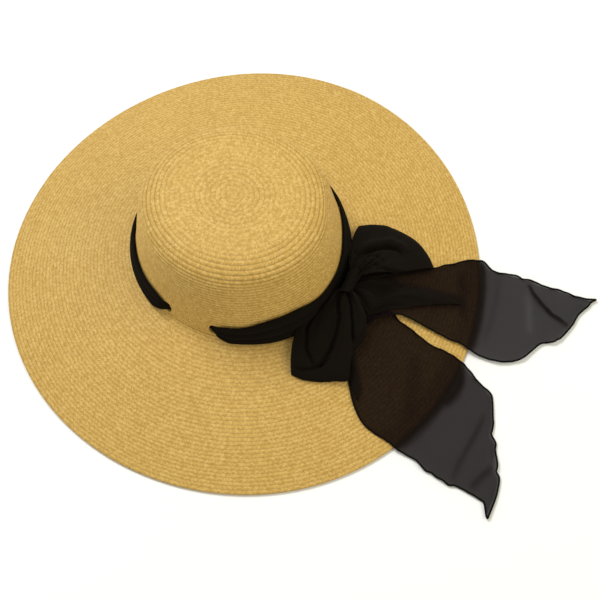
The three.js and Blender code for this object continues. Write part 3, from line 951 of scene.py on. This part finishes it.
lower_tail = {
    "waves": 2,
    "turn": 0.5,
    "tall": 1.2,
    "rise": 6.6,
    "right": (
        (110, -9), (122, -38), (130, -58), (146.5, -82.5), (160, -95), (171.5, -99.5),
        (191, -101), (197.5, -103), (216, -104.5), (219, -105.5), (227.5, -109.5),
        (233, -109.5), (239, -111), (244.5, -111.5), (251, -113), (256.5, -111),
        (269.5, -112), (281, -113.5), (284, -115.5), (289, -124), (291, -126),
    ),
    "left": (
        (110, -2), (122, -7), (130, -13), (136, -6), (142, 1), (147, 2.5), (155.5, -1.5),
        (166, -2.5), (187, -6.5), (198, -5), (214, -5), (225, -8.5), (240, -16.5),
        (251, -21), (255, -25.5), (262, -41.5), (264, -45.5), (265.5, -52), (266.5, -56.5),
        (272.5, -61.5), (274.5, -67.5), (281, -79), (282.5, -85.5), (286, -88),
        (288.5, -94.5), (290.5, -107), (291, -124.5),
    ),
    "pleat": (
        (110, -8.5, -6),
        (122, -33, -27),
        (130, -54, -46),
        (136, -67, -60),
        (143, -75, -70),
        (152, -84, -82),
    ),
    "layers": (2.2, 1.05, 1.03),
    "layers_at": (110, 126, 160, 235),
    "lines": (
        (((254, -40), (254, -55), (253, -70), (251, -90), (251, -108)), 2.2, 1.1, 0.2),
        (((221, -14), (224, -24), (223, -36), (219, -48)), 2.6, 1.2, 0.9),
        (((278, -82), (272, -96), (268, -108)), 2.6, 0.8, 0.25),
        (((180, -20), (190, -50), (196, -80)), 6, 0.6, 0.12),
    ),
}
tail_across, tail_along, outline_steps, outline_samples = 130, 220, 4, 2000
root_end, wave_end, wave_width = 134 * MM, 210 * MM, 30 * MM
end_wave = 0.5 * MM
fold_softness, pleat_fade, full_tuck = 1 * MM, 12 * MM, 3 * MM
small_wave, small_waves, small_wave_run = 0.35 * MM, 2.7, 100 * MM
curl_height, curl_reach, curl_span = 0.55 * MM, 4 * MM, (140 * MM, 160 * MM)
curls = (
    # share of the curl's height, its run along the edge, and its shift across the tail
    (0.6, 1.6 * MM, 9),
    (0.4, 3.7 * MM, 2),
)
# The cloth's extra layers at its bend over the brim's edge, and in a band just inside the edge, are
# painted shade.
bend_height, bend_at, bend_width, bend_layers = 1.1 * MM, 1.5 * MM, 2.4 * MM, 1.1
swell_height, swell_from, swell_to, swell_run = 0.5 * MM, 4 * MM, 14 * MM, 23 * MM
shade_at, shade_width, shade_layers, pleat_layers = 8 * MM, 7 * MM, 0.13, 0.6
hem_radius, hem_bead, hem_start, hem_samples = 0.92 * MM, 1.7 * MM, 0.02, 400
bead_points, bead_thick, bead_thin = 3, 1.15, 0.8
thread_fibre_scale = 1500.0
thread_dark, thread_light = (0.002, 0.0016, 0.0013, 1), (0.008, 0.0065, 0.005, 1)


def outline_of(points):
    """An edge's line, drawn soft through its points, with X always growing."""
    soft = smooth_curve(np.array(points) * MM, outline_steps)
    return np.maximum.accumulate(soft[:, 0]) + np.arange(len(soft)) * tiny, soft[:, 1]


def tail_cloth(tail, across, along):
    """Cloth of a tail at a share of the way across it and along its length: its places, and
    how many layers of it lie there, with painted shade counted as more layers. Its cross lines lie
    closer where an edge runs steeper."""
    right_line, left_line = outline_of(tail["right"]), outline_of(tail["left"])
    first_x = right_line[0][0]
    fine_x = np.linspace(first_x, right_line[0][-1], outline_samples)
    steps = [np.abs(np.diff(np.interp(fine_x, *edge))) for edge in (right_line, left_line)]
    reach = np.cumsum(np.concatenate(((0,), np.maximum(*steps) + np.diff(fine_x))))
    x = np.interp(along * reach[-1], reach, fine_x)
    right_edge, left_edge = np.interp(x, *right_line), np.interp(x, *left_line)
    width = left_edge - right_edge
    pleat = np.array(tail["pleat"]) * MM
    low, high = (np.interp(x, pleat[:, 0], pleat[:, k]) for k in (1, 2))
    tucked = np.where(x < pleat[-1, 0], np.clip(high - low, 0, None), 0)
    first_turn = np.clip(high - right_edge, 0, width)
    second_turn = first_turn + tucked
    cloth = across * (width + 2 * tucked)
    back = np.where(cloth < second_turn, 2 * first_turn - cloth, cloth - 2 * tucked)
    y = right_edge + np.where(cloth < first_turn, cloth, back)
    pleat_end = second_turn + tucked
    layer = (
        ease(cloth, first_turn - fold_softness, first_turn + fold_softness)
        + ease(cloth, second_turn - fold_softness, second_turn + fold_softness)
        - 2 * ease(cloth, pleat_end, pleat_end + pleat_fade)
    ) * np.clip(tucked / full_tuck, 0, 1)
    share = np.clip((y - right_edge) / np.maximum(width, slack), 0, 1)
    faded = ease(x, first_x, wave_end)
    tall = mix(tail["tall"] * MM, end_wave, faded) * np.clip(width / wave_width, 0, 1)
    wave = tall * (1 + np.cos(2 * math.pi * (tail["waves"] * share + tail["turn"])))
    small_turn = small_waves * tail["waves"] * share + x / small_wave_run
    small = small_wave * (1 + np.sin(2 * math.pi * small_turn))
    edge = np.minimum(share, 1 - share) * width
    curl = sum(part * np.sin(x / run + shift * share) for part, run, shift in curls)
    ripple = curl_height * np.exp(-edge / curl_reach) * (1 + curl) * ease(x, *curl_span)
    root = tail["rise"] * MM * (1 - ease(x, first_x, root_end))
    angle, radius = np.arctan2(y, x), np.hypot(x, y)
    rim = brim_reach + edge_wave_at(angle, brim_reach)
    bend = np.exp(-(((radius - rim - bend_at) / bend_width) ** 2))
    beyond = ease(radius, rim + swell_from, rim + swell_to)
    swell = swell_height * beyond * (1 + np.sin(2 * math.pi * (radius - rim) / swell_run))
    height = rest_height(x, y) + cloth_gap + wave + small + ripple + root
    height = height + layer * layer_step + bend_height * bend + swell
    # Over the brim a tail counts as a little more cloth than past it: painted shade on the cloth over
    # the straw.
    near_knot, over_brim, past_brim = tail["layers"]
    at = np.array(tail["layers_at"]) * MM
    layers = mix(mix(near_knot, over_brim, ease(x, *at[:2])), past_brim, ease(x, *at[2:]))
    # Painted shade: more layers, so darker cloth, at the bend over the brim's edge and in a band just
    # inside it.
    shaded = np.exp(-(((radius - rim + shade_at) / shade_width) ** 2))
    layers = layers + bend_layers * bend + shade_layers * shaded + pleat_layers * layer
    for points, half_width, line_height, more in tail["lines"]:
        crease = on_line(x, y, points, half_width)
        height = height + line_height * MM * crease
        layers = layers + more * crease
    return np.stack((x + hat_axis.x, y + hat_axis.y, height), axis=-1), layers


def hem_round(name, tail):
    """The overcast edge: a thin cord of beads that follows the tail's outline."""
    along = np.linspace(hem_start, 1, hem_samples)
    right_side = tail_cloth(tail, np.zeros_like(along), along)[0]
    left_side = tail_cloth(tail, np.ones_like(along), along[::-1])[0]
    edge = np.vstack((right_side, left_side))
    steps = np.linalg.norm(np.diff(edge, axis=0), axis=1)
    reach = np.concatenate(((0,), np.cumsum(steps)))
    count = int(reach[-1] / hem_bead) * bead_points
    spots = np.linspace(0, reach[-1], count)
    places = np.stack([np.interp(spots, reach, edge[:, k]) for k in range(3)], axis=1)
    data = bpy.data.curves.new(name, "CURVE")
    data.dimensions = "3D"
    data.bevel_depth = hem_radius
    data.bevel_resolution = 1
    data.use_fill_caps = True
    spline = data.splines.new("POLY")
    spline.points.add(count - 1)
    for index, (point, place) in enumerate(zip(spline.points, places)):
        point.co = (*place, 1)
        point.radius = bead_thick if index % bead_points == 1 else bead_thin
    hem = bpy.data.objects.new(name, data)
    bpy.context.scene.collection.objects.link(hem)
    select_only(hem)
    bpy.ops.object.convert(target="MESH")
    bpy.ops.object.shade_smooth()
    return hem


def thread_finish():
    """Black sewing thread, wound close."""
    finish, tree, shader = new_finish("overcast_thread", Roughness=0.8, Specular_IOR_Level=0.05)
    place = add_node(tree, "ShaderNodeTexCoord").outputs["Object"]
    fibre = noise_of(tree, place, thread_fibre_scale)
    tone = blend_of(tree, fibre, thread_dark, thread_light)
    tree.links.new(tone, shader.inputs["Base Color"])
    return finish


sheer_chiffon = chiffon_finish(
    "sheer_chiffon", weave, sheer=(0.25, 0.15), alone=(0.0058, 0.002, 0.0028, 1)
)
thread = thread_finish()
for node, tail in (("scarf_tail_upper", upper_tail), ("scarf_tail_lower", lower_tail)):
    piece = flat_grid(node + "_cloth", tail_across, tail_along)
    places, layers = tail_cloth(tail, *shares_of(piece))
    bend_to(piece, places)
    piece.data.attributes.new("layers", "FLOAT", "POINT").data.foreach_set("value", layers)
    cloth_map(piece, 0.1, 0.2)
    close_up(piece)
    hem = hem_round(node + "_hem", tail)
    hand_over(piece, sheer_chiffon, node)
    hand_over(hem, thread)
